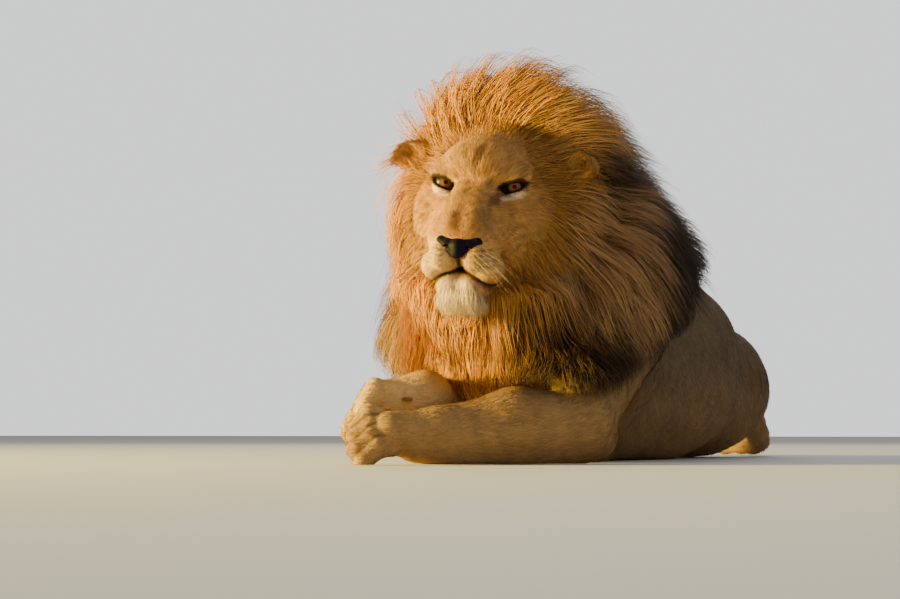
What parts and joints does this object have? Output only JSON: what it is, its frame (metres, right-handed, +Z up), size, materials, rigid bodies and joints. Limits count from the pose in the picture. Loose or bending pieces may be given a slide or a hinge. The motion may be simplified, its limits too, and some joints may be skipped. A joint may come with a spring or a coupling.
{
  "type": "resting lion figure",
  "caption": "Life-size male lion at rest, chest upright on folded forelegs, hips rolled on to one side, head raised, with a full mane and a tufted tail.",
  "frame": {"origin": "on the floor, under the middle of the belly, on the flat that the trunk rests on", "axes": "+Z up; the lion faces -Y, so +Y runs along the body towards the rump and tail; +X is the lion's left side, on to which the hips roll"},
  "size_m": [0.8721, 2.1204, 0.7872],
  "materials": {
    "body_coat": "short flat tawny fur",
    "face_coat": "very short tawny fur, darker down the nose",
    "chin_coat": "soft pale fur",
    "mane_hair": "long golden hair, black-brown at the back",
    "dark_hair": "coarse black-brown hair",
    "nose_skin": "bare pebbled skin, slightly moist",
    "eye": "wet amber eye"
  },
  "bodies": {
    "root": {"torso": "body_coat", "neck": "body_coat", "left_upper_arm": "body_coat", "left_forearm": "body_coat", "left_forepaw": "body_coat", "right_upper_arm": "body_coat", "right_forearm": "body_coat", "right_forepaw": "body_coat", "left_thigh": "body_coat", "left_shank": "body_coat", "left_hindpaw": "body_coat", "right_thigh": "body_coat", "right_shank": "body_coat", "right_hindpaw": "body_coat", "tail_base": "body_coat", "tail_middle": "body_coat", "tail_end": "body_coat", "head": "face_coat", "left_ear": "face_coat", "right_ear": "face_coat", "lower_jaw": "chin_coat", "nose": "nose_skin", "left_eye": "eye", "right_eye": "eye", "tail_tuft": "dark_hair", "mane_crown": "mane_hair", "mane_left": "mane_hair", "mane_right": "mane_hair", "mane_chest": "mane_hair"}
  },
  "joints": []
}
